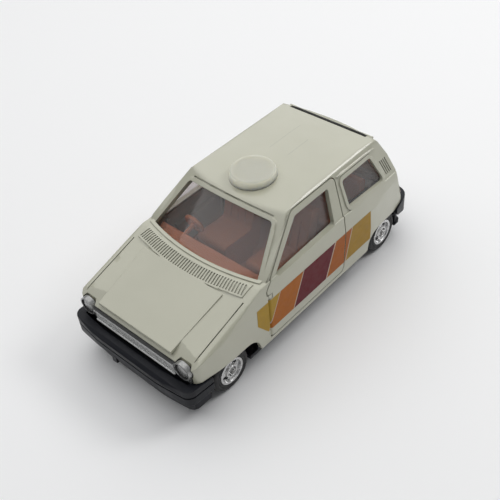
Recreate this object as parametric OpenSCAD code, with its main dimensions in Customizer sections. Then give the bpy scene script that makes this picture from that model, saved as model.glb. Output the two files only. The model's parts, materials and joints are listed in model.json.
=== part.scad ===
// Toy taxi: a die-cast two-door hatchback with opening doors and tailgate and free-rolling wheels.
// The front faces -Y, the car's left side is +X and the wheels stand on z = 0. All sizes in millimetres.

/* [Overall] */
// Length over both bumpers
car_l = 94.6; // [88:0.2:104]
// Width over the flat door skins
body_w = 43; // [40:0.5:48]
// Height of the roof above the floor, without the lamp disc
roof_z = 37.2; // [35:0.1:40]
// Wall thickness of the body, the doors and the tailgate
wall = 1.2; // [0.9:0.1:1.5]
// Gap all round an opening panel
gap = 0.3; // [0.25:0.05:0.5]

/* [Body lines] */
// Height of the bonnet's leading edge
nose_z = 19.2; // [18:0.1:20.5]
// Height of the belt line under the windows
belt_z = 25.4; // [24.5:0.1:26.5]
// Height of the wing edges over the wheels
wing_z = 11.9; // [11.5:0.1:12.5]
// How far the wing edges rise from the wheels to the nose
wing_rise = 1.3; // [0:0.1:2]
// Height of the sill's lower edge
sill_z = 6.4; // [5.5:0.1:7]
// How far the drip rails and the window frames stand proud
lip = 0.35; // [0.2:0.05:0.6]

/* [Wheels] */
// Distance between the axles
wheelbase = 64.6; // [60:0.2:68]
// Front axle, measured back from the tip of the front bumper
front_set = 16.3; // [15:0.1:18]
// Tyre diameter
tyre_d = 12.6; // [11:0.1:13]
// Tyre width
tyre_w = 5; // [4:0.1:6]
// Rim diameter
rim_d = 7.8; // [6:0.1:9]
// Axle diameter
axle_d = 2; // [1.6:0.1:2.4]

/* [Hinges] */
// Radius of the barrel along the door's front edge
barrel_r = 0.9; // [0.8:0.05:1]
// Radius of the hinge pins
pin_r = 0.45; // [0.35:0.05:0.5]
// Radial clearance of everything that turns
run = 0.05; // [0.02:0.01:0.08]

/* [Roof lamp] */
// Diameter of the lamp disc on the roof
lamp_d = 12.5; // [10:0.1:18]
// Diameter of the lamp disc at its top
lamp_top_d = 11.9; // [8:0.1:16]
// Height of the lamp disc over the roof
lamp_h = 1.9; // [1.5:0.1:5]

/* [Hidden] */
$fn = 48;

hw = body_w / 2;
front_y = -car_l / 2;
rear_y = car_l / 2;
nose_y = front_y + 3.3;
tail_y = car_l / 2 - 2.9;
front_axle_y = front_y + front_set;
rear_axle_y = front_axle_y + wheelbase;
axle_z = tyre_d / 2;
wheel_x = hw - 1.4;
bonnet_y = nose_y + 0.8;
bonnet_a = atan2(belt_z - nose_z, 21);
door_y = front_y + 30;
hinge_x = hw - barrel_r;
hinge_y = door_y + barrel_r;
barrel_top = 20.9;
gate_y = 35.5;
gate_r = 0.85;
gate_z = roof_z - 1.45;
lamp_y = 3;
post_y = [-36, 40.6];
glass = 0.6;
bar_z = wing_z + wing_rise - 0.3;
grille_z = [bar_z + 0.15, 17];

// Outline tools: a point is [x, y, corner radius] and outlines run counter-clockwise
function unit(v) = v / norm(v);
function inward(a, b) = unit([a[1] - b[1], b[0] - a[0]]);
function before(p, i) = p[(i + len(p) - 1) % len(p)];
function after(p, i) = p[(i + 1) % len(p)];

// Outline moved inwards by d, with its corner radii kept concentric
function inset(p, d) = [for (i = [0 : len(p) - 1])
    let (n = inward(before(p, i), p[i]), m = inward(p[i], after(p, i)), k = d / (1 + n * m))
    [p[i][0] + k * (n[0] + m[0]), p[i][1] + k * (n[1] + m[1]), p[i][2] > 0 ? max(0, p[i][2] - d) : 0]];

// One corner b between a and c drawn as an arc
function corner(a, b, c) = b[2] < 0.05 ? [[b[0], b[1]]] :
    let (u = unit([a[0] - b[0], a[1] - b[1]]),
        v = unit([c[0] - b[0], c[1] - b[1]]),
        half = acos(u * v) / 2,
        o = [b[0], b[1]] + unit(u + v) * b[2] / sin(half),
        p = [b[0], b[1]] + u * b[2] / tan(half) - o,
        q = [b[0], b[1]] + v * b[2] / tan(half) - o,
        a0 = atan2(p[1], p[0]),
        s = (atan2(q[1], q[0]) - a0 + 540) % 360 - 180,
        n = max(2, ceil(abs(s) / 13)))
    [for (i = [0 : n]) o + b[2] * [cos(a0 + s * i / n), sin(a0 + s * i / n)]];
function rounded(p) = [for (i = [0 : len(p) - 1]) each corner(before(p, i), p[i], after(p, i))];

// A right-hand half outline completed by its mirror image
function both(h) = concat(h, [for (i = [len(h) - 1 : -1 : 0]) [-h[i][0], h[i][1], h[i][2]]]);
// Outline points close to the turning axis put back on it
function on_axis(p) = [for (q = p) [q[0] < 3 ? 0 : q[0], q[1], q[2]]];

// Prisms along X from a side view (y, z) and along Y from a front view (x, z)
module along_x(p, x0, x1) translate([x0, 0, 0]) rotate([90, 0, 90]) linear_extrude(x1 - x0) polygon(p);
module along_y(p, y0, y1) translate([0, y1, 0]) rotate([90, 0, 0]) linear_extrude(y1 - y0) polygon(p);
module along_z(p, z0, z1) translate([0, 0, z0]) linear_extrude(z1 - z0) polygon(p);
module both_sides() {
    children();
    mirror([1, 0, 0]) children();
}

// Body form, drawn i inside the outer skin

// Front, side and rear of the lower body seen from above
plan = both([[10, nose_y, 30], [hw - 0.75, nose_y + 1, 2.4], [hw, nose_y + 9, 20],
    [hw, 28, 30], [hw - 0.8, tail_y - 1, 3.2], [9, tail_y + 0.6, 30]]);
// Tumblehome above and below the flat door skins
flanks = both([[hw - 1, -4, 0], [hw + 0.2, 9, 0], [hw + 0.2, 19.6, 0], [hw - 0.85, belt_z + 0.2, 0.3]]);
// Bonnet across its slope: a flat middle, falling shoulders and rounded wing tops
crown = both([[hw, -60, 0], [hw, -0.75, 1.5], [13.2, 0.05, 30]]);
// Rounded-off nose edge
ends = [[nose_y - 4, -5, 0], [60, -5, 0], [60, 60, 0], [nose_y + 61, 60, 0], [nose_y - 4, nose_z - 5, 0]];
// Cabin sides leaning in to the roof
cabin = both([[hw + 0.87, 20, 0], [hw - 5.64, roof_z - 0.25, 1.6], [8, roof_z, 20]]);
// Screen and roof as turned outlines: radius from an upright axis, height
screen_axis = 45;
screen = [[0, 10, 0], [screen_axis + 26.4, 20, 0], [screen_axis + 5.6, roof_z - 0.7, 2.2],
    [screen_axis - 10, roof_z + 0.15, 12], [0, roof_z + 0.15, 0]];
hatch_axis = -40;
hatch = [[0, 10, 0], [45.7 - hatch_axis, 20, 0], [36.2 - hatch_axis, roof_z - 0.6, 1.8],
    [20 - hatch_axis, roof_z + 0.2, 12], [0, roof_z + 0.2, 0]];

module turned(y, p) translate([0, y, 0]) rotate_extrude($fn = 180) polygon(rounded(p));
module screen_form(i) turned(screen_axis, on_axis(inset(screen, i)));
module hatch_form(i) turned(hatch_axis, on_axis(inset(hatch, i)));

// Bowed tail that leans forward
tail_axis = -50;
tail = [[0, -6, 0], [tail_y + 3.6 - tail_axis, -6, 0], [tail_y - 1.8 - tail_axis, belt_z + 0.5, 0],
    [tail_y + 30 - tail_axis, belt_z + 0.5, 0], [tail_y + 30 - tail_axis, 60, 0], [0, 60, 0]];
module tail_form(i) turned(tail_axis, on_axis(inset(tail, i)));

// Rounded rear corners: smaller turned forms, one below the belt and one for the rear pillars
pillar_axis = 12;
pillar = [[0, 10, 0], [36.2, 20, 0], [28.1, roof_z + 0.2, 0], [28.1, roof_z + 9, 0], [0, roof_z + 9, 0]];
quarter = [[0, -6, 0], [41.1, -6, 0], [33.4, belt_z + 0.5, 0], [80, belt_z + 0.5, 0], [80, 60, 0],
    [0, 60, 0]];
module rear_corners(p, i) {
    turned(pillar_axis, on_axis(inset(p, i)));
    translate([-40, pillar_axis - 80, -6]) cube([80, 80, 70]);
}

module lower_form(i) intersection() {
    along_z(rounded(inset(plan, i)), -4, belt_z + 6);
    along_y(rounded(inset(flanks, i)), -60, 60);
    along_x(rounded(inset(ends, i)), -40, 40);
    tail_form(i);
    rear_corners(quarter, i);
    translate([0, bonnet_y, nose_z]) rotate([bonnet_a, 0, 0]) along_y(rounded(inset(crown, i)), -30, 110);
}

module cabin_form(i) intersection() {
    along_y(rounded(inset(cabin, i)), -60, 60);
    translate([-40, -60, belt_z - 1.4 - 0.4 * i]) cube([80, 120, 30]);
    screen_form(i);
    hatch_form(i);
    rear_corners(pillar, i);
    tail_form(i);
    rear_corners(quarter, i);
}

module car_form(i) {
    lower_form(i);
    cabin_form(i);
}

module skin(a, b) difference() {
    car_form(a);
    car_form(b);
}

// Outlines of the openings

door_line = [[door_y, sill_z + 1.5, 0], [13, sill_z + 1.5, 1.4], [14, 24, 6], [15.5, roof_z - 1.2, 1.2],
    [-1.7, roof_z - 1.2, 2.4], [-16.5, belt_z - 1.1, 0.6], [door_y, belt_z - 2, 0.5]];
door_window = [[-13.9, belt_z - 0.5, 0.6], [10.6, belt_z, 0.7], [12.3, roof_z - 2.7, 0.6],
    [-0.9, roof_z - 2.7, 1.2]];
quarter_window = [[17.4, belt_z + 1.2, 0.9], [32.8, belt_z + 0.7, 0.9], [29.8, roof_z - 3.3, 1],
    [17.5, roof_z - 3.3, 0.9]];
// The screen's opening is cut along a line of sight that falls towards the seats, and its foot is bowed
sight_a = 35;
screen_foot = [0, -19.2, belt_z + 0.5];
screen_window = both([[18.8, -1.6, 0], [14.2, 8.9 * cos(sight_a) + 12.9 * sin(sight_a), 1.2]]);
gate_line = both([[14.8, 15.8, 1], [13.2, roof_z + 3, 0]]);
gate_window = both([[13.2, belt_z + 1.5, 1], [11.6, roof_z - 3, 1]]);
// Lower edge of the whole body: wing edges over the wheels and a sill between them
edge = [[-60, -10, 0], [60, -10, 0], [60, 21.4, 0], [38.4, wing_z, 2], [25.6, wing_z, 4.5],
    [24.4, sill_z, 0.6], [-21.2, sill_z, 0.6], [-22.4, wing_z, 4.5], [front_axle_y, wing_z, 8],
    [nose_y, wing_z + wing_rise, 0], [-60, wing_z + wing_rise, 0]];

module screen_cut(d) intersection() {
    translate(screen_foot) rotate([-sight_a, 0, 0]) along_y(rounded(inset(screen_window, -d)), -14, 17);
    translate([0, screen_axis, 18]) cylinder(r = screen_axis + 19.7 + d, h = 30, $fn = 180);
}

module gate_zone(d) union() {
    along_y(rounded(inset(gate_line, d)), gate_y - 0.2 + d, 60);
    translate([0, gate_y, gate_z]) rotate([0, 90, 0])
        cylinder(r = gate_r - d, h = 2 * (13.1 - d), center = true);
}

// Space between the side panes
module between_panes(d) along_y(rounded(both([[hw - 1 + d, 19, 0], [hw - 9.1 + d, 40, 0]])), -40, 33.6);

// Lamps and grille seen from the front
lamp_x = 17.1;
lamp_z = 16.3;
lamp_r = 2.55;
module nose_window(d) {
    along_y([[-19.4 - d, wing_z - 1], [19.4 + d, wing_z - 1], [19.4 + d, 15.5], [14.6, 17.3 + d],
        [-14.6, 17.3 + d], [-19.4 - d, 15.5]], nose_y - 3, nose_y + 2.2);
    both_sides() translate([lamp_x, nose_y + 2.2, lamp_z]) rotate([90, 0, 0]) cylinder(r = lamp_r + d, h = 6);
}

// Hinge of a left-hand panel: body lug above, sill socket below
module hinge_lug() intersection() {
    car_form(0);
    union() {
        translate([hinge_x, hinge_y, barrel_top + 0.15]) cylinder(r = barrel_r, h = 1.1);
        translate([hinge_x - 0.6, door_y - 1.5, barrel_top + 0.15]) cube([1.2, 1.5 + barrel_r, 1.1]);
    }
}
module hinge_socket() intersection() {
    car_form(0);
    translate([hinge_x - 0.2, hinge_y, sill_z]) cylinder(r = 1.6, h = 1.2);
}

// Part of the cabin skin or of the lower skin that stands proud by d
module proud(d) intersection() {
    difference() {
        cabin_form(-d);
        cabin_form(0.6);
    }
    union() children();
}
module raised(d) intersection() {
    difference() {
        lower_form(-d);
        car_form(0.6);
    }
    children();
}

// Grooves cut into the cabin skin to the depth d
module engraved(d) intersection() {
    difference() {
        cabin_form(-1);
        cabin_form(d);
    }
    union() children();
}

module body_shell() color("ivory") difference() {
    union() {
        difference() {
            skin(0, wall);
            along_x(rounded(edge), -40, 40);
            along_x(rounded(inset(door_line, -gap)), -40, -12);
            along_x(rounded(inset(door_line, -gap)), 12, 40);
            gate_zone(-gap);
            nose_window(0.25);
        }
        // Frames round the screen and the rear quarter windows
        proud(lip) screen_cut(1.1);
        both_sides() proud(lip) along_x(rounded(inset(quarter_window, -1)), 12, 30);
        // Drip rails over the quarter windows and down the screen pillars
        both_sides() proud(lip) {
            along_x([[16.2, roof_z - 2], [32.4, roof_z - 2.1], [32.2, roof_z - 1.75], [16.2, roof_z - 1.65]],
                12, 30);
            along_x([[-18.4, belt_z - 0.6], [-17.7, belt_z - 0.6], [-3, roof_z - 1.3]], 12, 30);
        }
        // Air intake panel at the foot of the screen
        raised(0.28) intersection() {
            translate([0, screen_axis, nose_z]) difference() {
                cylinder(r = screen_axis + 25.6, h = 12, $fn = 180);
                translate([0, 0, -1]) cylinder(r = screen_axis + 21.5, h = 14, $fn = 180);
                for (a = [-14.7 : 0.7 : 14.8]) rotate([0, 0, a - 90])
                    translate([screen_axis + 22.1, -0.19, -1]) cube([3, 0.38, 14]);
            }
            translate([-18.3, -30, nose_z]) cube([36.6, 20, 12]);
        }
        // Bead along the foot of the screen
        raised(0.28) intersection() {
            translate([0, screen_axis, nose_z]) difference() {
                cylinder(r = screen_axis + 20.7, h = 12, $fn = 180);
                translate([0, 0, -1]) cylinder(r = screen_axis + 19, h = 14, $fn = 180);
            }
            translate([-19.3, -24, nose_z]) cube([38.6, 12, 12]);
        }
        // Middle of the bonnet, which rises as a wedge from the nose to the air intake
        intersection() {
            along_z([[-13, -42.8], [13, -42.8], [13.9, -25.2], [-13.9, -25.2]], nose_z - 1, 30);
            translate([-20, bonnet_y, nose_z]) rotate([bonnet_a + 0.9, 0, 0])
                translate([0, 0.2, -0.8]) cube([40, 19, 0.86]);
        }
        // Rear lamp pads
        both_sides() raised(0.2)
            along_y(rounded([[15.6, 17.2, 0.5], [30, 17.2, 0], [30, 21.2, 0], [15.6, 21.2, 0.5]]), 40.6, 60);
        both_sides() {
            hinge_lug();
            hinge_socket();
            // Bearing for the tailgate's pin beside the roof slot
            intersection() {
                car_form(0.1);
                translate([13.5, gate_y, gate_z]) rotate([0, 90, 0]) cylinder(r = 1.2, h = 1.5);
            }
        }
        // Rivet posts that reach down to the base
        intersection() {
            car_form(0.4);
            translate([0, post_y[0], 6.2]) cylinder(r = 2, h = 30);
        }
        difference() {
            translate([0, post_y[1], 6.2]) cylinder(r = 2, h = 8.6);
            translate([-3, tail_y - 0.9, 6]) cube([6, 4, 12]);
        }
        intersection() {
            car_form(0.4);
            translate([-13.5, post_y[1] - 1.5, 13.8]) cube([27, 6, 1]);
        }
    }
    screen_cut(0);
    both_sides() {
        along_x(rounded(quarter_window), 12, 30);
        translate([hinge_x, hinge_y, sill_z - 1]) cylinder(r = pin_r + run, h = barrel_top - sill_z + 2.2);
        translate([12.9, gate_y, gate_z]) rotate([0, 90, 0]) cylinder(r = pin_r + run, h = 1.6);
        // Bonnet shut line
        translate([0, bonnet_y, nose_z]) rotate([bonnet_a, 0, 0])
            translate([19.2, 0.4, -0.9]) cube([0.3, 19.6, 2]);
    }
    engraved(0.3) {
        // Line between the roof and the frame of the screen
        intersection() {
            difference() {
                screen_cut(1.45);
                screen_cut(1.1);
            }
            translate([-13.6, -20, roof_z - 3.4]) cube([27.2, 20, 8]);
        }
        both_sides() {
            // Air slats in the rear pillar
            for (y = [0 : 0.75 : 2.3])
                along_x([[y + 34.5, 26.6], [y + 34.85, 26.6], [y + 33.55, 31], [y + 33.2, 31]], 12, 30);
        }
    }
    // Wide slot ahead of the tailgate's hinge
    translate([-13.1, gate_y - gate_r - 0.9, roof_z - 4]) cube([26.2, 1.6, 8]);
    translate([0, lamp_y, roof_z - 4]) cylinder(r = 1.5, h = 8);
    for (y = post_y) translate([0, y, 5]) cylinder(r = 0.9, h = 6);
}

module left_panel() difference() {
    union() {
        intersection() {
            skin(0, wall);
            along_x(rounded(door_line), 12, 40);
        }
        // Barrel down the front edge, flush with the skin
        intersection() {
            car_form(0);
            translate([hinge_x, hinge_y, sill_z + 1.5]) cylinder(r = barrel_r, h = barrel_top - sill_z - 1.5);
        }
        translate([hinge_x, hinge_y, sill_z + 0.3]) cylinder(r = pin_r, h = barrel_top - sill_z + 0.8);
        // Stiffening ribs and arm rest inside the skin
        for (y = [-12, 9]) translate([hw - wall - 0.9, y, sill_z + 2.4]) cube([1.2, 1, 13]);
        translate([hw - wall - 1.3, -9, 16.6]) cube([1.6, 15, 1.5]);
    }
    along_x(rounded(door_window), 12, 30);
    // Inner corner of the window frame, so that it swings clear of the windscreen
    intersection() {
        between_panes(0.6);
        translate([0, -40, belt_z - 1.2]) cube([30, 80, 20]);
    }
    // Front corner turned round the hinge, and room for the body's lug
    difference() {
        translate([hinge_x, door_y - 1, sill_z - 1]) cube([2, 1 + barrel_r, 30]);
        translate([hinge_x, hinge_y, 0]) cylinder(r = barrel_r, h = 40);
    }
    translate([hinge_x, hinge_y, barrel_top]) difference() {
        union() {
            cylinder(r = barrel_r + 0.08, h = 1.4);
            translate([-1.4, -2, 0]) cube([3.4, 2, 1.4]);
        }
        translate([0, 0, -2]) cylinder(r = pin_r, h = 3.1);
    }
}

module left_door() color("ivory") left_panel();
module right_door() color("ivory") mirror([1, 0, 0]) left_panel();

module tailgate() color("ivory") difference() {
    union() {
        intersection() {
            skin(0, wall);
            gate_zone(0);
        }
        intersection() {
            car_form(0);
            translate([0, gate_y, gate_z]) rotate([0, 90, 0]) cylinder(r = gate_r, h = 26, center = true);
        }
        translate([0, gate_y, gate_z]) rotate([0, 90, 0]) cylinder(r = pin_r, h = 28.6, center = true);
        // Rib along the lower edge inside
        translate([-10, tail_y - wall - 1.7, 17]) cube([20, 1.4, 1]);
        // Handle plinth
        translate([-3, tail_y - 2.2, 21]) cube([6, 1.7, 1.3]);
    }
    // Everything ahead of the pins is kept inside the barrel's sweep
    difference() {
        translate([-20, gate_y - 4, gate_z - 3]) cube([40, 3.9, 8]);
        translate([0, gate_y, gate_z]) rotate([0, 90, 0]) cylinder(r = gate_r, h = 40, center = true);
    }
    // Shoulders stepped back beside the bearings
    both_sides() translate([13.1, gate_y, gate_z]) rotate([0, 90, 0]) difference() {
        cylinder(r = 1.6, h = 4);
        cylinder(r = pin_r, h = 8, center = true);
    }
    along_y(rounded(gate_window), 34, 60);
}

// Panes lie against the inside of their frames
module pane() intersection() {
    difference() {
        cabin_form(wall + 0.1);
        cabin_form(wall + 0.1 + glass);
    }
    children();
}

module glazing() color("lightsteelblue") difference() {
    union() {
        // Windscreen and roof panel
        pane() intersection() {
            between_panes(0);
            translate([-40, -40, belt_z - 1.85]) cube([80, 80, 20]);
        }
        // Rear quarter panes hang from the roof panel
        both_sides() pane() along_x([[16.4, belt_z], [33.6, belt_z], [32, 38], [16.4, 38]], 8, 30);
        // and fill their openings almost flush
        both_sides() intersection() {
            difference() {
                cabin_form(0.4);
                cabin_form(wall + 0.3);
            }
            along_x(rounded(inset(quarter_window, 0.12)), 12, 30);
        }
    }
    translate([0, lamp_y, roof_z - 6]) cylinder(r = 1.7, h = 8);
}

module left_pane() pane() difference() {
    along_x(rounded(inset(door_window, -0.7)), 12, 30);
    between_panes(0.3);
}
module left_door_glass() color("lightsteelblue") left_pane();
module right_door_glass() color("lightsteelblue") mirror([1, 0, 0]) left_pane();

module tailgate_glass() color("lightsteelblue") intersection() {
    difference() {
        hatch_form(wall + 0.1);
        hatch_form(wall + 0.1 + glass);
        translate([0, gate_y, gate_z]) rotate([0, 90, 0]) cylinder(r = gate_r + 0.1, h = 40, center = true);
    }
    along_y(rounded(inset(gate_window, -0.9)), gate_y - 0.4, 60);
}

// Bumper outlines seen from above and from the side
front_bar = both([[11, front_y, 30], [hw - 0.5, front_y + 1.2, 2.6], [hw + 0.5, front_y + 14, 0]]);
rear_bar = both([[hw + 0.6, 34, 0], [hw - 0.8, rear_y - 1.4, 4.6], [11, rear_y, 30]]);

module bumper(bar, y0, y1, side) intersection() {
    difference() {
        along_z(rounded(bar), 0, 20);
        along_z(rounded(inset(bar, 2.4)), -1, 21);
    }
    along_x(side, -40, 40);
    translate([-40, y0, 0]) cube([80, y1 - y0, 20]);
}

module base_plate() color("#24262b") difference() {
    union() {
        // Floor between the wheels and out to the bumpers
        along_z(rounded(both([[17, front_y + 2.6, 3], [hw - 1.8, front_y + 5, 1], [hw - 1.8, rear_y - 4, 1],
            [16, rear_y - 2.4, 3]])), 3.6, 4.8);
        // Skirts that carry the sills
        both_sides() translate([hw - 2.6, -20.8, 3.6]) cube([0.8, 44.8, sill_z - 3.9]);
        // Front bumper, the apron behind it and the bed of the grille
        bumper(front_bar, -60, front_y + 8.9, rounded([[front_y - 0.1, 8.6, 0], [front_y + 0.8, 7.8, 0],
            [front_y + 9, 8.2, 0], [front_y + 9, bar_z - 0.6, 0], [front_y + 3.2, bar_z, 0],
            [front_y + 0.9, bar_z, 0], [front_y - 0.1, bar_z - 0.9, 0]]));
        along_z(rounded(both([[11, front_y + 1.8, 30], [hw - 1.6, front_y + 3, 2.2],
            [hw - 1.4, front_y + 8.8, 0]])), 3.6, 8.6);
        translate([-18.6, nose_y + 1.55, 4]) cube([37.2, 1, bar_z - 4]);
        translate([-8.6, front_y + 1.4, 3]) cube([1.6, 1.6, 5.6]);
        // Rear bumper and apron
        bumper(rear_bar, 38.9, 60, rounded([[38, 9.8, 0], [rear_y - 1, 8, 0], [rear_y + 0.1, 8.8, 0],
            [rear_y + 0.1, 12.8, 0], [rear_y - 0.9, 13.7, 0], [43.2, 13.7, 0], [38, 11.6, 0]]));
        along_z(rounded(both([[hw - 2, 39.2, 0], [hw - 2, rear_y - 3.4, 3], [10, rear_y - 2, 30]])),
            3.6, 8.4);
        // Axle bearings
        for (y = [front_axle_y, rear_axle_y]) both_sides()
            translate([10.6, y - 2.3, 3.8]) cube([2.6, 4.6, axle_z - 1.2]);
        // Rivet bosses
        for (y = post_y) translate([0, y, 3.6]) cylinder(r = 2.8, h = 2.4);
        // Sump, tunnel, exhaust and tank in relief on the underside
        translate([-6, -27.6, 2.8]) cube([12, 9, 1]);
        translate([-4, -18, 2.6]) cube([8, 36, 1.2]);
        translate([-8, -16, 3.5]) rotate([-90, 0, 0]) cylinder(r = 0.7, h = 58);
        translate([-10.4, 8, 2.8]) cube([4.8, 12, 1]);
        translate([4.6, 14, 2.8]) cube([10, 11, 1]);
    }
    // Wheel wells
    for (y = [front_axle_y, rear_axle_y]) both_sides()
        translate([wheel_x - tyre_w - 0.9, y - tyre_d / 2 - 0.9, -1]) cube([20, tyre_d + 1.8, 8.6]);
    for (y = [front_axle_y, rear_axle_y]) both_sides()
        translate([wheel_x - tyre_w - 0.9, y, axle_z]) rotate([0, 90, 0])
            cylinder(r = tyre_d / 2 + 0.5, h = 20);
    for (y = [front_axle_y, rear_axle_y]) translate([0, y, axle_z]) rotate([0, 90, 0])
        cylinder(r = axle_d / 2 + run, h = 60, center = true);
    for (y = post_y) translate([0, y, 0]) {
        cylinder(r = 1, h = 9);
        translate([0, 0, 6]) cylinder(r = 2.3, h = 20);
    }
    // Groove along the front bumper
    difference() {
        along_z(rounded(inset(front_bar, -1)), 10.3, 10.8);
        along_z(rounded(inset(front_bar, 0.3)), 10, 11);
    }
}

module grille_insert() color("silver") difference() {
    union() {
        // Backing panel behind the nose opening
        along_y([[-19.2, bar_z + 0.1], [19.2, bar_z + 0.1], [19.2, 15.4], [14.6, 17.2], [-14.6, 17.2],
            [-19.2, 15.4]], nose_y + 0.7, nose_y + 1.5);
        // Rails above and below the grille, its ends and upright ribs
        translate([-14.3, nose_y + 0.05, grille_z[0]]) cube([28.6, 1, 0.45]);
        translate([-14.3, nose_y - 0.05, grille_z[1] - 0.7]) cube([28.6, 1, 0.7]);
        for (x = [-14.1 : 0.94 : 14.2])
            translate([x - 0.17, nose_y + 0.3, grille_z[0]]) cube([0.34, 0.8, grille_z[1] - grille_z[0]]);
        for (z = [14.2, 15.1, 16]) translate([-14.2, nose_y + 0.38, z - 0.13]) cube([28.4, 0.8, 0.26]);
        // Headlamp bowls
        both_sides() translate([lamp_x, nose_y + 1.5, lamp_z]) rotate([90, 0, 0])
            cylinder(r = lamp_r, h = 1.4);
    }
    both_sides() translate([lamp_x, nose_y + 0.1, lamp_z]) rotate([-90, 0, 0]) rotate_extrude()
        polygon([[0, -1], [lamp_r - 0.25, -1], [lamp_r - 0.4, 0.1], [lamp_r - 0.4, 0.7], [lamp_r - 0.6, 0.7],
            [lamp_r - 0.65, 0.4], [1.4, 0.2], [0.7, 0.08], [0, 0.04]]);
}

// Seat outline from the side: cushion and leaning back
seat = [[-6.5, 8, 0], [6.6, 8, 0.5], [11.6, 28.2, 1.3], [8.4, 28.6, 1.3], [4.4, 15.2, 1.2],
    [-6.5, 15.8, 1.4]];
bench = [[17, 8, 0], [27, 8, 0.5], [30.6, 26, 1.3], [27.8, 26.4, 1.2], [25.4, 16.4, 1.2], [17, 17, 1.4]];
dash = [[-24, 18.6, 0], [-16.4, 17.4, 0.8], [-14.8, 21, 0.6], [-14.3, 24.5, 0.8], [-24, 25.2, 0]];

module interior() color("#b5602f") difference() {
    union() {
        translate([-17.6, -18.5, 5]) cube([35.2, 44, 1]);
        both_sides() {
            along_x(rounded(seat), 3.8, 14.6);
            along_x(rounded([[8.2, 27, 0], [10.8, 26.6, 0], [11.7, 31.2, 0.9], [9.6, 31.4, 0.9]]), 6.4, 12);
            // Side walls that carry the dash and the bench
            translate([16.8, -18.5, 5]) cube([0.8, 44, 7]);
            along_x([[-18.5, 5.5], [-16, 5.5], [-16, 20], [-18.5, 20]], 14, 17.6);
            translate([3.8, -4, 5.5]) cube([10.8, 8, 3]);
        }
        along_x(rounded(bench), -15.4, 15.4);
        translate([-15.4, 18, 5.5]) cube([30.8, 7, 3]);
        // Parcel floor over the rear axle
        translate([-14, 25.5, 13.4]) cube([28, 11.5, 1]);
        intersection() {
            car_form(wall + glass + 0.4);
            along_x(rounded(dash), -17.6, 17.6);
        }
        // Steering column and wheel on the right
        translate([-9.9, -16.6, 22.8]) rotate([-73, 0, 0]) {
            cylinder(r = 0.6, h = 6.6);
            translate([0, 0, 6.4]) rotate_extrude() translate([2.6, 0]) circle(r = 0.55, $fn = 20);
            translate([-2.6, -0.9, 6.1]) cube([5.2, 1.8, 0.6]);
            translate([0, 0, 5.9]) cylinder(r = 1.3, h = 1);
        }
    }
    // Seams pressed into the seat backs
    both_sides() for (x = [6.4, 9, 11.6]) translate([x, 4.2, 16]) rotate([-17, 0, 0]) cube([0.4, 0.9, 9]);
}

module roof_lamp() color("#e8e6da") {
    difference() {
        translate([0, lamp_y, 0]) rotate_extrude($fn = 96) polygon(rounded([[0, roof_z - 1.5, 0],
            [lamp_d / 2, roof_z - 1.5, 0], [lamp_d / 2, roof_z + 0.2, 0],
            [lamp_top_d / 2, roof_z + lamp_h, 0.5], [lamp_top_d / 2 - 1, roof_z + lamp_h, 0],
            [lamp_top_d / 2 - 1.1, roof_z + lamp_h - 0.12, 0], [0, roof_z + lamp_h - 0.12, 0]]));
        cabin_form(-0.02);
    }
    translate([0, lamp_y, roof_z - 2.6]) cylinder(r = 1.45, h = 3);
}

module rivets() color("silver") for (y = post_y) translate([0, y, 3]) {
    cylinder(r = 0.85, h = 7);
    rotate_extrude() polygon(rounded([[0, 0, 0], [1.5, 0, 0.4], [1.9, 0.58, 0], [0, 0.58, 0]]));
}

module axle(y) color("silver") translate([0, y, axle_z]) rotate([0, 90, 0])
    cylinder(r = axle_d / 2, h = 2 * wheel_x - 1.2, center = true);

// Left wheel with its outer face at the origin, axis along X
module hub() color("silver") rotate([0, 90, 0]) difference() {
    rotate_extrude($fn = 64) polygon([[axle_d / 2, -tyre_w + 0.6], [rim_d / 2, -tyre_w + 0.6],
        [rim_d / 2, 0.05], [rim_d / 2 - 0.6, 0.05], [rim_d / 2 - 0.9, -0.8], [1.95, -0.6], [1.85, 0.1],
        [1.4, 0.1], [1.3, -0.7], [axle_d / 2, -0.7]]);
    for (a = [45 : 90 : 315], b = [-11, 11]) rotate([0, 0, a + b])
        translate([2.48, 0, -tyre_w]) cylinder(r = 0.5, h = tyre_w + 1);
}
tread = [[rim_d / 2, -tyre_w, 0], [tyre_d / 2 - 0.15, -tyre_w, 0.8], [tyre_d / 2, -tyre_w + 1.7, 0],
    [tyre_d / 2, -1.7, 0], [tyre_d / 2 - 0.15, -0.1, 1], [rim_d / 2 + 1.1, 0, 0], [rim_d / 2 + 1, -0.12, 0],
    [rim_d / 2 + 0.8, -0.12, 0], [rim_d / 2 + 0.7, 0, 0], [rim_d / 2 + 0.3, 0, 0.2], [rim_d / 2, -0.2, 0]];
module tyre() color("#1b1b1c") rotate([0, 90, 0]) rotate_extrude($fn = 96) polygon(rounded(tread));

module front_axle() axle(front_axle_y);
module rear_axle() axle(rear_axle_y);
module at_left(y) translate([wheel_x, y, axle_z]) children();
module at_right(y) mirror([1, 0, 0]) translate([wheel_x, y, axle_z]) children();
module front_left_hub() at_left(front_axle_y) hub();
module front_right_hub() at_right(front_axle_y) hub();
module rear_left_hub() at_left(rear_axle_y) hub();
module rear_right_hub() at_right(rear_axle_y) hub();
module front_left_tyre() at_left(front_axle_y) tyre();
module front_right_tyre() at_right(front_axle_y) tyre();
module rear_left_tyre() at_left(rear_axle_y) tyre();
module rear_right_tyre() at_right(rear_axle_y) tyre();

body_shell();
left_door();
right_door();
tailgate();
base_plate();
grille_insert();
glazing();
left_door_glass();
right_door_glass();
tailgate_glass();
interior();
roof_lamp();
rivets();
front_axle();
front_left_hub();
front_right_hub();
front_left_tyre();
front_right_tyre();
rear_axle();
rear_left_hub();
rear_right_hub();
rear_left_tyre();
rear_right_tyre();
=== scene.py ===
import json
import math

import bmesh
import bpy
from mathutils import Matrix, Vector

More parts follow.
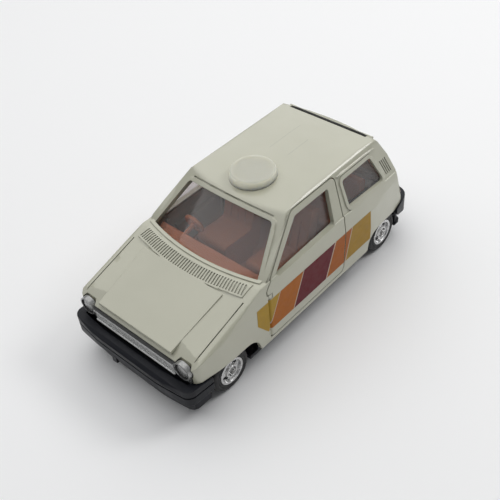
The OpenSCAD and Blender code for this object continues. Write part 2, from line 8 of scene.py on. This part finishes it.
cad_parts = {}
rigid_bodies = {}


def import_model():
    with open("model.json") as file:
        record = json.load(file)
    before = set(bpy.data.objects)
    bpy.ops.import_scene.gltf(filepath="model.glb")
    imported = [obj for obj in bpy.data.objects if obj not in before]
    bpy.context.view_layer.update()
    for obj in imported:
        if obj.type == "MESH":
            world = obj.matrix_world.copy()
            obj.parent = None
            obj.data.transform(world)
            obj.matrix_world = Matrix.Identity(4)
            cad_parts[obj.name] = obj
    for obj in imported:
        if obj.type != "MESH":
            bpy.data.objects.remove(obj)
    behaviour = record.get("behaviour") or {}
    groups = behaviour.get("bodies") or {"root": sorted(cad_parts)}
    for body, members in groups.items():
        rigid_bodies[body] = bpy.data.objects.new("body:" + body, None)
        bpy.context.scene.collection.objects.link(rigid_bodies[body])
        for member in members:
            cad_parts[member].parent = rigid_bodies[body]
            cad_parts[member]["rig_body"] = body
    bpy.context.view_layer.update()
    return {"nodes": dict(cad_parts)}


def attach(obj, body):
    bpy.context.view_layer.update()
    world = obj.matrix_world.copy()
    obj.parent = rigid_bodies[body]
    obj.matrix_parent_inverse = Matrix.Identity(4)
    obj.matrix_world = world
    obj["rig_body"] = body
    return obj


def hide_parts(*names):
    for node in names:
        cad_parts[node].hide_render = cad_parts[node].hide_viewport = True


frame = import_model()

# Base: one black plastic moulding with the floor, both bumpers and the axle bearings.
# It closes the car from below and is riveted to two posts of the body.
MM = 0.001


def add(tree, kind, **given):
    """A shader node with its settings, values and links."""
    node = tree.nodes.new("ShaderNode" + kind)
    for key, value in given.items():
        if hasattr(node, key):
            setattr(node, key, value)
            continue
        socket = node.inputs[key.replace("_", " ")]
        if isinstance(value, bpy.types.NodeSocket):
            tree.links.new(value, socket)
        else:
            socket.default_value = value
    return node


def blend_colour(tree, share, first, second):
    """Two colours mixed by a share from 0 to 1."""
    node = tree.nodes.new("ShaderNodeMix")
    node.data_type = "RGBA"
    for socket, value in zip((node.inputs[0], node.inputs[6], node.inputs[7]), (share, first, second)):
        if isinstance(value, bpy.types.NodeSocket):
            tree.links.new(value, socket)
        else:
            socket.default_value = value
    return node.outputs[2]


def cloud(tree, size_mm, detail=3.0, rough=0.5):
    """Soft noise with spots of about that size, tied to the piece."""
    spot = add(tree, "TexCoord").outputs["Object"]
    noise = add(tree, "TexNoise", Vector=spot, Scale=1000 / size_mm, Detail=detail, Roughness=rough)
    return noise.outputs["Fac"]


def between(tree, value, low, high, to_low, to_high):
    """A value mapped from one range to another and kept inside it."""
    node = add(tree, "MapRange", Value=value, From_Min=low, From_Max=high, To_Min=to_low, To_Max=to_high)
    return node.outputs["Result"]


def finish(name, **sockets):
    """A new material with constant values set on its shader."""
    material = bpy.data.materials.new(name)
    material.use_nodes = True
    shader = material.node_tree.nodes["Principled BSDF"]
    for key, value in sockets.items():
        shader.inputs[key.replace("_", " ")].default_value = value
    return material, material.node_tree, shader


def edge_share(tree, radius_mm):
    """Near 1 on an outer or inner edge and 0 on open faces."""
    soft = add(tree, "Bevel", Radius=radius_mm * MM, samples=6).outputs["Normal"]
    flat = add(tree, "NewGeometry").outputs["Normal"]
    same = add(tree, "VectorMath", operation="DOT_PRODUCT")
    tree.links.new(soft, same.inputs[0])
    tree.links.new(flat, same.inputs[1])
    return between(tree, same.outputs["Value"], 0.99, 0.86, 0.0, 1.0)


def round_edges(tree, shader, radius_mm, height, bump_mm):
    """Edges rounded by the casting or moulding, with a fine skin on top."""
    soft = add(tree, "Bevel", Radius=radius_mm * MM, samples=6).outputs["Normal"]
    skin = add(tree, "Bump", Strength=1.0, Distance=bump_mm * MM, Height=height, Normal=soft)
    tree.links.new(skin.outputs["Normal"], shader.inputs["Normal"])


weld_mm, flat_deg = 0.002, 0.3
grid_mm, grid_shift_mm = 2.5, 0.13


def dressed(node, name, coat_of=None, cuts=0, fold=32):
    """A piece on a CAD node's surface, smooth up to a fold angle and cut to a grid if it is a casting."""
    mesh = bpy.data.meshes.new(name)
    part = bmesh.new()
    part.from_mesh(frame["nodes"][node].data)
    bmesh.ops.remove_doubles(part, verts=part.verts, dist=weld_mm * MM)
    bmesh.ops.dissolve_limit(part, angle_limit=math.radians(flat_deg), verts=part.verts, edges=part.edges)
    for face in part.faces:
        face.material_index = coat_of(face) if coat_of else 0
    for axis in range(3):
        across = Vector([float(axis == n) for n in range(3)])
        for step in range(-cuts, cuts):
            whole = part.verts[:] + part.edges[:] + part.faces[:]
            place = across * (grid_mm * step + grid_shift_mm) * MM
            bmesh.ops.bisect_plane(part, geom=whole, dist=1e-7, plane_co=place, plane_no=across)
    for face in part.faces:
        face.smooth = True
    part.to_mesh(mesh)
    part.free()
    mesh.set_sharp_from_angle(angle=math.radians(fold))
    piece = bpy.data.objects.new(name, mesh)
    bpy.context.collection.objects.link(piece)
    even = piece.modifiers.new("even_shading", "WEIGHTED_NORMAL")
    even.keep_sharp = True
    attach(piece, frame["nodes"][node]["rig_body"])
    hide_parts(node)
    return piece


new_black, scuffed_black = (0.012, 0.013, 0.017, 1), (0.05, 0.052, 0.058, 1)
black_plastic, tree, shader = finish("black_plastic", Specular_IOR_Level=0.2)
grain = cloud(tree, 0.35, 2)
tree.links.new(between(tree, cloud(tree, 6, 4), 0.35, 0.7, 0.3, 0.48), shader.inputs["Roughness"])
scuffed = add(tree, "Math", operation="MULTIPLY", use_clamp=True)
tree.links.new(edge_share(tree, 0.25), scuffed.inputs[0])
tree.links.new(between(tree, cloud(tree, 1.6, 4), 0.45, 0.75, 0.0, 0.7), scuffed.inputs[1])
tree.links.new(blend_colour(tree, scuffed.outputs[0], new_black, scuffed_black), shader.inputs["Base Color"])
round_edges(tree, shader, 0.2, grain, 0.012)
base = dressed("base_plate", "base_moulding")
base.data.materials.append(black_plastic)

# Axles and rivets: two bright drawn rods that turn in the base's bearings, with a wheel pressed on each end.
# Two rivets of the same steel go through the base into the body's posts.
steel, tree, shader = finish("drawn_steel", Base_Color=(0.62, 0.61, 0.59, 1), Metallic=1.0)
tree.links.new(between(tree, cloud(tree, 0.5, 4), 0.3, 0.7, 0.18, 0.4), shader.inputs["Roughness"])
round_edges(tree, shader, 0.1, cloud(tree, 0.2, 2), 0.004)
for node in ("front_axle", "rear_axle", "rivets"):
    frame["nodes"][node].data.materials.clear()
    frame["nodes"][node].data.materials.append(steel)

# Wheels: plastic hubs with open holes and a bright plating, pressed on the axles.
# Each has a black plastic tyre pushed over it, dusty from the floor.
plated_hub, tree, shader = finish("plated_hub", Metallic=1.0)
clean_hub, dusty_hub = (0.72, 0.72, 0.72, 1), (0.45, 0.44, 0.42, 1)
dust = between(tree, cloud(tree, 0.8, 4), 0.45, 0.7, 0.0, 0.5)
tree.links.new(blend_colour(tree, dust, clean_hub, dusty_hub), shader.inputs["Base Color"])
tree.links.new(between(tree, cloud(tree, 1.2, 3), 0.3, 0.7, 0.16, 0.34), shader.inputs["Roughness"])
round_edges(tree, shader, 0.12, cloud(tree, 0.3, 2), 0.006)
clean_tyre, dusty_tyre = (0.013, 0.013, 0.014, 1), (0.035, 0.034, 0.032, 1)
tyre_black, tree, shader = finish("tyre_black")
tree.links.new(between(tree, cloud(tree, 1.5, 4), 0.3, 0.7, 0.5, 0.7), shader.inputs["Roughness"])
dust = between(tree, cloud(tree, 2.5, 5), 0.45, 0.8, 0.0, 1.0)
tree.links.new(blend_colour(tree, dust, clean_tyre, dusty_tyre), shader.inputs["Base Color"])
round_edges(tree, shader, 0.15, cloud(tree, 0.25, 3), 0.02)
for corner in ("front_left", "front_right", "rear_left", "rear_right"):
    hub = frame["nodes"][corner + "_hub"]
    hub.data.materials.clear()
    hub.data.materials.append(plated_hub)
    tyre = frame["nodes"][corner + "_tyre"]
    tyre.data.materials.clear()
    tyre.data.materials.append(tyre_black)

# Interior: one orange plastic moulding with the floor, the front seats, the bench and the dash.
# It drops into the body and is held by the base.
orange, tree, shader = finish("orange_plastic")
deep_orange, pale_orange = (0.6, 0.2, 0.075, 1), (0.66, 0.235, 0.1, 1)
tree.links.new(blend_colour(tree, cloud(tree, 5, 4), deep_orange, pale_orange), shader.inputs["Base Color"])
tree.links.new(between(tree, cloud(tree, 1, 3), 0.3, 0.7, 0.38, 0.55), shader.inputs["Roughness"])
round_edges(tree, shader, 0.3, cloud(tree, 0.4, 3), 0.03)
seats = dressed("interior", "seat_moulding")
seats.data.materials.append(orange)

# Windows: clear plastic mouldings with a faint smoky tint.
# The large one is held under the roof, the others are glued in the doors and the tailgate.
clear, tree, shader = finish(
    "clear_plastic", Base_Color=(0.88, 0.85, 0.85, 1), IOR=1.36, Transmission_Weight=0.95
)
tree.links.new(between(tree, cloud(tree, 8, 5), 0.35, 0.75, 0.02, 0.09), shader.inputs["Roughness"])
panes = {
    "glazing": "window_moulding",
    "left_door_glass": "left_door_pane",
    "right_door_glass": "right_door_pane",
    "tailgate_glass": "tailgate_pane",
}
for node, name in panes.items():
    dressed(node, name).data.materials.append(clear)

# Grille: one plated plastic strip with the two lamps, held between the nose of the body and the base.
# Black is painted on its top and in the lamps' grooves as painted shade, for the gaps under the bonnet edge
# and round the lamps.
# The lamps and the spaces between the ribs are greyer.
plated, tree, shader = finish("plated_trim", Metallic=0.35)
dull = between(tree, cloud(tree, 0.7, 4), 0.4, 0.75, 0.0, 0.6)
bright_plating, dull_plating = (0.88, 0.88, 0.87, 1), (0.68, 0.68, 0.66, 1)
tree.links.new(blend_colour(tree, dull, bright_plating, dull_plating), shader.inputs["Base Color"])
tree.links.new(between(tree, cloud(tree, 0.9, 4), 0.3, 0.7, 0.1, 0.26), shader.inputs["Roughness"])
round_edges(tree, shader, 0.2, cloud(tree, 0.4, 2), 0.004)
# This black is painted shade, laid where gaps and grooves lie in shadow.
dense_shade_black, faint_shade_black = (0.02, 0.02, 0.021, 1), (0.075, 0.075, 0.072, 1)
black_painted_shade, tree, shader = finish("black_painted_shade")
tree.links.new(blend_colour(tree, cloud(tree, 0.6, 4), dense_shade_black, faint_shade_black), shader.inputs["Base Color"])
tree.links.new(between(tree, cloud(tree, 0.5, 3), 0.3, 0.7, 0.4, 0.65), shader.inputs["Roughness"])
lamp_grey, tree, shader = finish("lamp_grey", Metallic=0.5, Coat_Weight=0.3, Coat_Roughness=0.06)
deep_grey, pale_grey = (0.24, 0.24, 0.235, 1), (0.4, 0.4, 0.39, 1)
tree.links.new(blend_colour(tree, cloud(tree, 1.2, 4), deep_grey, pale_grey), shader.inputs["Base Color"])
tree.links.new(between(tree, cloud(tree, 0.7, 3), 0.3, 0.7, 0.18, 0.32), shader.inputs["Roughness"])
round_edges(tree, shader, 0.1, cloud(tree, 0.4, 2), 0.004)
strip_end, rail_top = 14.4, 16.6
space_front, space_back = -43.4, -43.2
lamp_x, lamp_z, lamp_r, rim = 17.1, 16.3, 2.55, 0.06
groove_r, groove_wide, groove_front, lens_back = 1.92, 0.28, -43.85, -43.45


def grille_coat(face):
    """Plating 0, black painted shade 1 or grey plating 2."""
    spot, normal = face.calc_center_median() / MM, face.normal
    from_lamp = math.hypot(abs(spot.x) - lamp_x, spot.z - lamp_z)
    if abs(spot.x) < strip_end:
        if normal.y < -0.9 and space_front < spot.y < space_back:
            return 2
        return 1 if normal.z > 0.9 and spot.z > rail_top else 0
    if from_lamp > lamp_r - rim:
        return 2 if abs(normal.y) < 0.5 else 0
    in_groove = from_lamp > groove_r or spot.y > lens_back
    if from_lamp < groove_r + groove_wide and spot.y > groove_front and in_groove:
        return 1
    return 2 if from_lamp < groove_r and spot.y < space_front else 0


grille = dressed("grille_insert", "grille_strip", grille_coat)
for finish_coat in (plated, black_painted_shade, lamp_grey):
    grille.data.materials.append(finish_coat)

# Body, doors and tailgate: die-cast metal in thick ivory enamel, with red lacquer on the two rear lamp pads.
# The doors hang on pins between sill and wing.
# The tailgate hangs on pins beside the roof slot, and its hinge barrel is coloured black as painted shade,
# so the roof slot reads dark.
ivory, tree, shader = finish("ivory_enamel", Coat_Weight=0.8, Coat_Roughness=0.13, IOR=1.5)
deep_ivory, pale_ivory = (0.46, 0.455, 0.355, 1), (0.489, 0.483, 0.38, 1)
tone = blend_colour(tree, between(tree, cloud(tree, 22, 3), 0.35, 0.65, 0, 1), deep_ivory, pale_ivory)
# The AO node darkens the enamel to dark brown in gaps, slots and inner corners: painted shade where they lie
# in shadow.
gap_shade = add(tree, "AmbientOcclusion", samples=6, Distance=0.55 * MM).outputs["AO"]
tone_with_painted_shade = blend_colour(tree, between(tree, gap_shade, 0.15, 0.52, 0.0, 1.0), (0.1, 0.098, 0.086, 1), tone)


def product(tree, first, second):
    """Two shares multiplied."""
    node = add(tree, "Math", operation="MULTIPLY", use_clamp=True)
    tree.links.new(first, node.inputs[0])
    tree.links.new(second, node.inputs[1])
    return node.outputs[0]


def close_to(tree, value, middle_mm, reach_mm):
    """1 where a coordinate lies within a reach of a place and 0 elsewhere."""
    node = add(tree, "Math", operation="COMPARE")
    tree.links.new(value, node.inputs[0])
    node.inputs[1].default_value = middle_mm * MM
    node.inputs[2].default_value = reach_mm * MM
    return node.outputs[0]


spot = add(tree, "SeparateXYZ", Vector=add(tree, "TexCoord").outputs["Object"])
roof_low, roof_high = 36.6, 36.8
mould_lines = [(-4.3, 14.6, 27.8), (1.85, 14.6, 23.3)]
for line_x, line_start, line_end in mould_lines:
    along = close_to(tree, spot.outputs["Y"], (line_start + line_end) / 2, (line_end - line_start) / 2)
    line = product(tree, close_to(tree, spot.outputs["X"], line_x, 0.07), along)
    on_roof = product(tree, line, between(tree, spot.outputs["Z"], roof_low * MM, roof_high * MM, 0.0, 0.45))
    tone_with_painted_shade = blend_colour(tree, on_roof, tone_with_painted_shade, (0.25, 0.25, 0.22, 1))
chipped = product(
    tree,
    between(tree, edge_share(tree, 0.12), 0.55, 0.95, 0.0, 1.0),
    between(tree, cloud(tree, 1.1, 4), 0.64, 0.7, 0.0, 0.8),
)
tree.links.new(blend_colour(tree, chipped, tone_with_painted_shade, (0.2, 0.2, 0.19, 1)), shader.inputs["Base Color"])
tree.links.new(between(tree, cloud(tree, 4, 4), 0.3, 0.7, 0.3, 0.44), shader.inputs["Roughness"])
round_edges(tree, shader, 0.22, cloud(tree, 0.9, 2), 0.006)
lamp_red, tree, shader = finish("lamp_red", Coat_Weight=0.8, Coat_Roughness=0.05)
bright_red, deep_red = (0.3, 0.012, 0.012, 1), (0.24, 0.008, 0.01, 1)
tree.links.new(blend_colour(tree, cloud(tree, 1.5, 3), bright_red, deep_red), shader.inputs["Base Color"])
tree.links.new(between(tree, cloud(tree, 0.8, 3), 0.3, 0.7, 0.15, 0.32), shader.inputs["Roughness"])
round_edges(tree, shader, 0.15, cloud(tree, 0.5, 2), 0.006)
pad_inner, pad_front, pad_foot, pad_top = 15.55, 38.5, 17.15, 21.25
tail_middle = 20
barrel_end = 35.0
casting_cuts, casting_fold = 19, 16


def body_coat(face):
    """Ivory 0, or red lacquer 1 on the rear lamp pads."""
    spot, normal = face.calc_center_median() / MM, face.normal
    corners = [corner.co / MM for corner in face.verts]
    on_pad = all(abs(c.x) > pad_inner and c.y > pad_front and pad_foot < c.z < pad_top for c in corners)
    outward = normal.x * spot.x + normal.y * (spot.y - tail_middle)
    return int(on_pad and outward > 0)


def tailgate_coat(face):
    """Ivory 0, or black painted shade 1 on the hinge barrel."""
    return int(face.calc_center_median().y < barrel_end * MM)


castings = {
    "body_shell": ("body_casting", body_coat, lamp_red),
    "left_door": ("left_door_casting", None, None),
    "right_door": ("right_door_casting", None, None),
    # The tailgate's hinge barrel takes the black painted shade, so the roof slot in front of it reads dark.
    "tailgate": ("tailgate_casting", tailgate_coat, black_painted_shade),
}
for node, (name, coat_of, second_coat) in castings.items():
    casting = dressed(node, name, coat_of, casting_cuts, casting_fold)
    casting.data.materials.append(ivory)
    if second_coat:
        casting.data.materials.append(second_coat)

# Side stripes: five printed bands on thin film, stuck on wing, door and rear quarter of each side.
# The film is cut at the door's gaps and wraps round the door's front edge.
# A pale line runs between the bands.
film_lift, film_thick = 0.012, 0.04
flank_x, pin_x, pin_y, edge_r = 21.5, 20.6, -16.4, 0.9
round_steps = [-17.15, -17.0, -16.85, -16.65, pin_y]
band_top, band_foot = 20.7, 10.6
bands = {
    "front_yellow": [
        (-21.8, band_top),
        (-21.9, 15.4),
        (-18.3, band_foot),
        (-18.2, band_foot),
        (-13.2, band_top),
    ],
    "orange": [(-12.9, band_top), (-17.9, band_foot), (-8.5, band_foot), (-4.0, band_top)],
    "maroon": [(-3.6, band_top), (-8.1, band_foot), (5.1, band_foot), (9.2, band_top)],
    "red": [(9.7, band_top), (5.6, band_foot), (13.6, band_foot), (16.6, band_top)],
    "rear_yellow": [(17.0, band_top), (14.0, band_foot), (25.4, band_foot), (25.6, 14.5), (25.2, band_top)],
}
pale_lines = [
    [(-13.2, band_top), (-18.2, band_foot), (-17.9, band_foot), (-12.9, band_top)],
    [(-4.0, band_top), (-8.5, band_foot), (-8.1, band_foot), (-3.6, band_top)],
    [(9.2, band_top), (5.1, band_foot), (5.6, band_foot), (9.7, band_top)],
    [(16.6, band_top), (13.6, band_foot), (14.0, band_foot), (17.0, band_top)],
]
ink_tones = {
    "front_yellow": (0.43, 0.265, 0.032, 1),
    "orange": (0.41, 0.125, 0.014, 1),
    "maroon": (0.128, 0.008, 0.015, 1),
    "red": (0.38, 0.105, 0.012, 1),
    "rear_yellow": (0.37, 0.215, 0.025, 1),
    "pale_line": (0.5, 0.4, 0.32, 1),
}
inks = {}
for name, tone in ink_tones.items():
    inks[name], tree, shader = finish(name + "_ink", Specular_IOR_Level=0.14)
    faded = tuple(0.9 * part + 0.006 for part in tone[:3]) + (1,)
    patchy = between(tree, cloud(tree, 2.4, 5), 0.4, 0.72, 0.0, 1.0)
    tree.links.new(blend_colour(tree, patchy, tone, faded), shader.inputs["Base Color"])
    tree.links.new(between(tree, cloud(tree, 1.4, 3), 0.3, 0.7, 0.3, 0.48), shader.inputs["Roughness"])
    skin = add(tree, "Bump", Strength=1.0, Distance=0.008 * MM, Height=cloud(tree, 0.7, 3))
    tree.links.new(skin.outputs["Normal"], shader.inputs["Normal"])


def trimmed(outline, across, upward, limit):
    """The part of a side-view outline with across * y + upward * z under a limit."""
    kept = []
    for (y0, z0), (y1, z1) in zip(outline, outline[1:] + outline[:1]):
        here = across * y0 + upward * z0 - limit
        there = across * y1 + upward * z1 - limit
        if here <= 0:
            kept.append((y0, z0))
        if here * there < 0:
            share = here / (here - there)
            kept.append((y0 + share * (y1 - y0), z0 + share * (z1 - z0)))
    return kept


def stripe_film(name, body, side, cuts, on_door):
    """All bands on one panel, side is 1 on the left and -1 on the right."""
    points, faces, colours = [], [], []
    steps = [-99] + (round_steps if on_door else []) + [99]
    outlines = list(bands.items()) + [("pale_line", line) for line in pale_lines]
    for ink, outline in outlines:
        for across, upward, limit in cuts:
            outline = trimmed(outline, across, upward, limit)
        for low, high in zip(steps, steps[1:]):
            strip = trimmed(trimmed(outline, 1, 0, high), -1, 0, -low)
            if len(strip) < 3:
                continue
            start = len(points)
            for y, z in strip:
                x = flank_x
                if on_door and y < pin_y:
                    x = pin_x + math.sqrt(max(0, edge_r**2 - (y - pin_y) ** 2))
                points.append((side * (x + film_lift) * MM, y * MM, z * MM))
            faces.append(list(range(start, len(points))))
            colours.append(ink)
    mesh = bpy.data.meshes.new(name)
    mesh.from_pydata(points, [], faces)
    film = bmesh.new()
    film.from_mesh(mesh)
    for face in film.faces:
        face.material_index = list(inks).index(colours[face.index])
        face.normal_update()
        if face.normal.x * side < 0:
            face.normal_flip()
    bmesh.ops.remove_doubles(film, verts=film.verts, dist=0.001 * MM)
    film.to_mesh(mesh)
    film.free()
    for ink in inks.values():
        mesh.materials.append(ink)
    piece = bpy.data.objects.new(name, mesh)
    bpy.context.collection.objects.link(piece)
    skin = piece.modifiers.new("film", "SOLIDIFY")
    skin.thickness = film_thick * MM
    skin.offset = 1.0
    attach(piece, body)


wing_end, door_front = -17.65, -17.22
rear_lean, rear_foot_y, rear_foot_z = 1 / 16.1, 13, 7.9
door_rear = rear_foot_y - rear_foot_z * rear_lean
door_inset, gap_wide = 0.05, 0.35
on_wing = [(1, 0, wing_end)]
on_door_panel = [(-1, 0, -door_front), (1, -rear_lean, door_rear - door_inset)]
on_quarter = [(-1, rear_lean, -door_rear - gap_wide)]
for side, word in ((1, "left"), (-1, "right")):
    stripe_film(word + "_wing_stripes", "car", side, on_wing, False)
    stripe_film(word + "_door_stripes", word + "_door_panel", side, on_door_panel, True)
    stripe_film(word + "_quarter_stripes", "car", side, on_quarter, False)

# Roof lamp: a round milky plastic disc with a shallow rim; its sides are painted paler, a painted glow for
# light leaving the plastic at the side.
# Its peg goes through a hole in the roof.
disc_top, lit_disc_side = (0.52, 0.515, 0.435, 1), (0.85, 0.83, 0.69, 1)
milky, tree, shader = finish(
    "milky_plastic",
    Subsurface_Weight=1.0,
    Subsurface_Radius=(1.0, 0.95, 0.8),
    Subsurface_Scale=0.004,
    IOR=1.48,
)
tilt = add(tree, "SeparateXYZ", Vector=add(tree, "TexCoord").outputs["Normal"]).outputs["Z"]
# The colour turns paler as the face turns to the side: painted light, not the plastic's own colour.
painted_side_glow = between(tree, tilt, 0.25, 0.9, 1.0, 0.0)
tree.links.new(blend_colour(tree, painted_side_glow, disc_top, lit_disc_side), shader.inputs["Base Color"])
tree.links.new(between(tree, cloud(tree, 2, 4), 0.3, 0.7, 0.35, 0.55), shader.inputs["Roughness"])
round_edges(tree, shader, 0.25, cloud(tree, 0.5, 3), 0.01)
dressed("roof_lamp", "roof_lamp_disc").data.materials.append(milky)

# Floor, light and camera: a pale paper floor, a large soft lamp overhead and a small one at the left rear.
# The camera has the viewing angle of the picture.
pale_floor = finish("pale_floor", Base_Color=(0.92, 0.92, 0.92, 1), Roughness=0.7)[0]
floor_mesh = bpy.data.meshes.new("floor")
reach = 3.0
floor_corners = [(-reach, -reach, 0), (reach, -reach, 0), (reach, reach, 0), (-reach, reach, 0)]
floor_mesh.from_pydata(floor_corners, [], [(0, 1, 2, 3)])
floor_mesh.materials.append(pale_floor)
floor = bpy.data.objects.new("floor", floor_mesh)
bpy.context.collection.objects.link(floor)

world = bpy.data.worlds.new("studio")
bpy.context.scene.world = world
world.use_nodes = True
sky = world.node_tree.nodes["Background"]
sky.inputs["Color"].default_value = (0.95, 0.97, 1.0, 1)
sky.inputs["Strength"].default_value = 0.2
car_middle = Vector((0, 0, 0.02))


def soft_lamp(name, place, size, watts, length_along):
    """An oblong lamp that faces the middle of the car, with its length in a given direction."""
    data = bpy.data.lights.new(name, "AREA")
    data.shape = "RECTANGLE"
    data.size, data.size_y = size
    data.energy = watts
    lamp = bpy.data.objects.new(name, data)
    outward = (Vector(place) - car_middle).normalized()
    along = (Vector(length_along) - outward * outward.dot(Vector(length_along))).normalized()
    turn = Matrix((along, outward.cross(along), outward)).transposed().to_4x4()
    lamp.matrix_world = Matrix.Translation(place) @ turn
    bpy.context.collection.objects.link(lamp)


soft_lamp("overhead", (-0.22, 0.1, 0.6), (1.0, 1.4), 5.4, (1, 0, 0))
soft_lamp("window", (0.26, 0.385, 0.43), (0.22, 0.17), 1.0, (0.85, 0, -0.53))

lens_mm = 55.58
azimuth, elevation, roll = (math.radians(x) for x in (45.37, 42.61, -5.64))
eye = Vector((111.10, -110.49, 157.10)) * MM
level = math.cos(elevation)
back = Vector((math.sin(azimuth) * level, -math.cos(azimuth) * level, math.sin(elevation)))
right = Vector((math.cos(azimuth), math.sin(azimuth), 0))
up = back.cross(right)
across = math.cos(roll) * right + math.sin(roll) * up
upright = -math.sin(roll) * right + math.cos(roll) * up
camera_data = bpy.data.cameras.new("camera")
camera_data.lens = lens_mm
camera_data.sensor_width = 36
camera_data.clip_start = 0.005
camera = bpy.data.objects.new("camera", camera_data)
view_turn = Matrix((across, upright, back)).transposed().to_4x4()
camera.matrix_world = Matrix.Translation(eye) @ view_turn
bpy.context.collection.objects.link(camera)
bpy.context.scene.camera = camera
bpy.context.scene.view_settings.view_transform = "Standard"
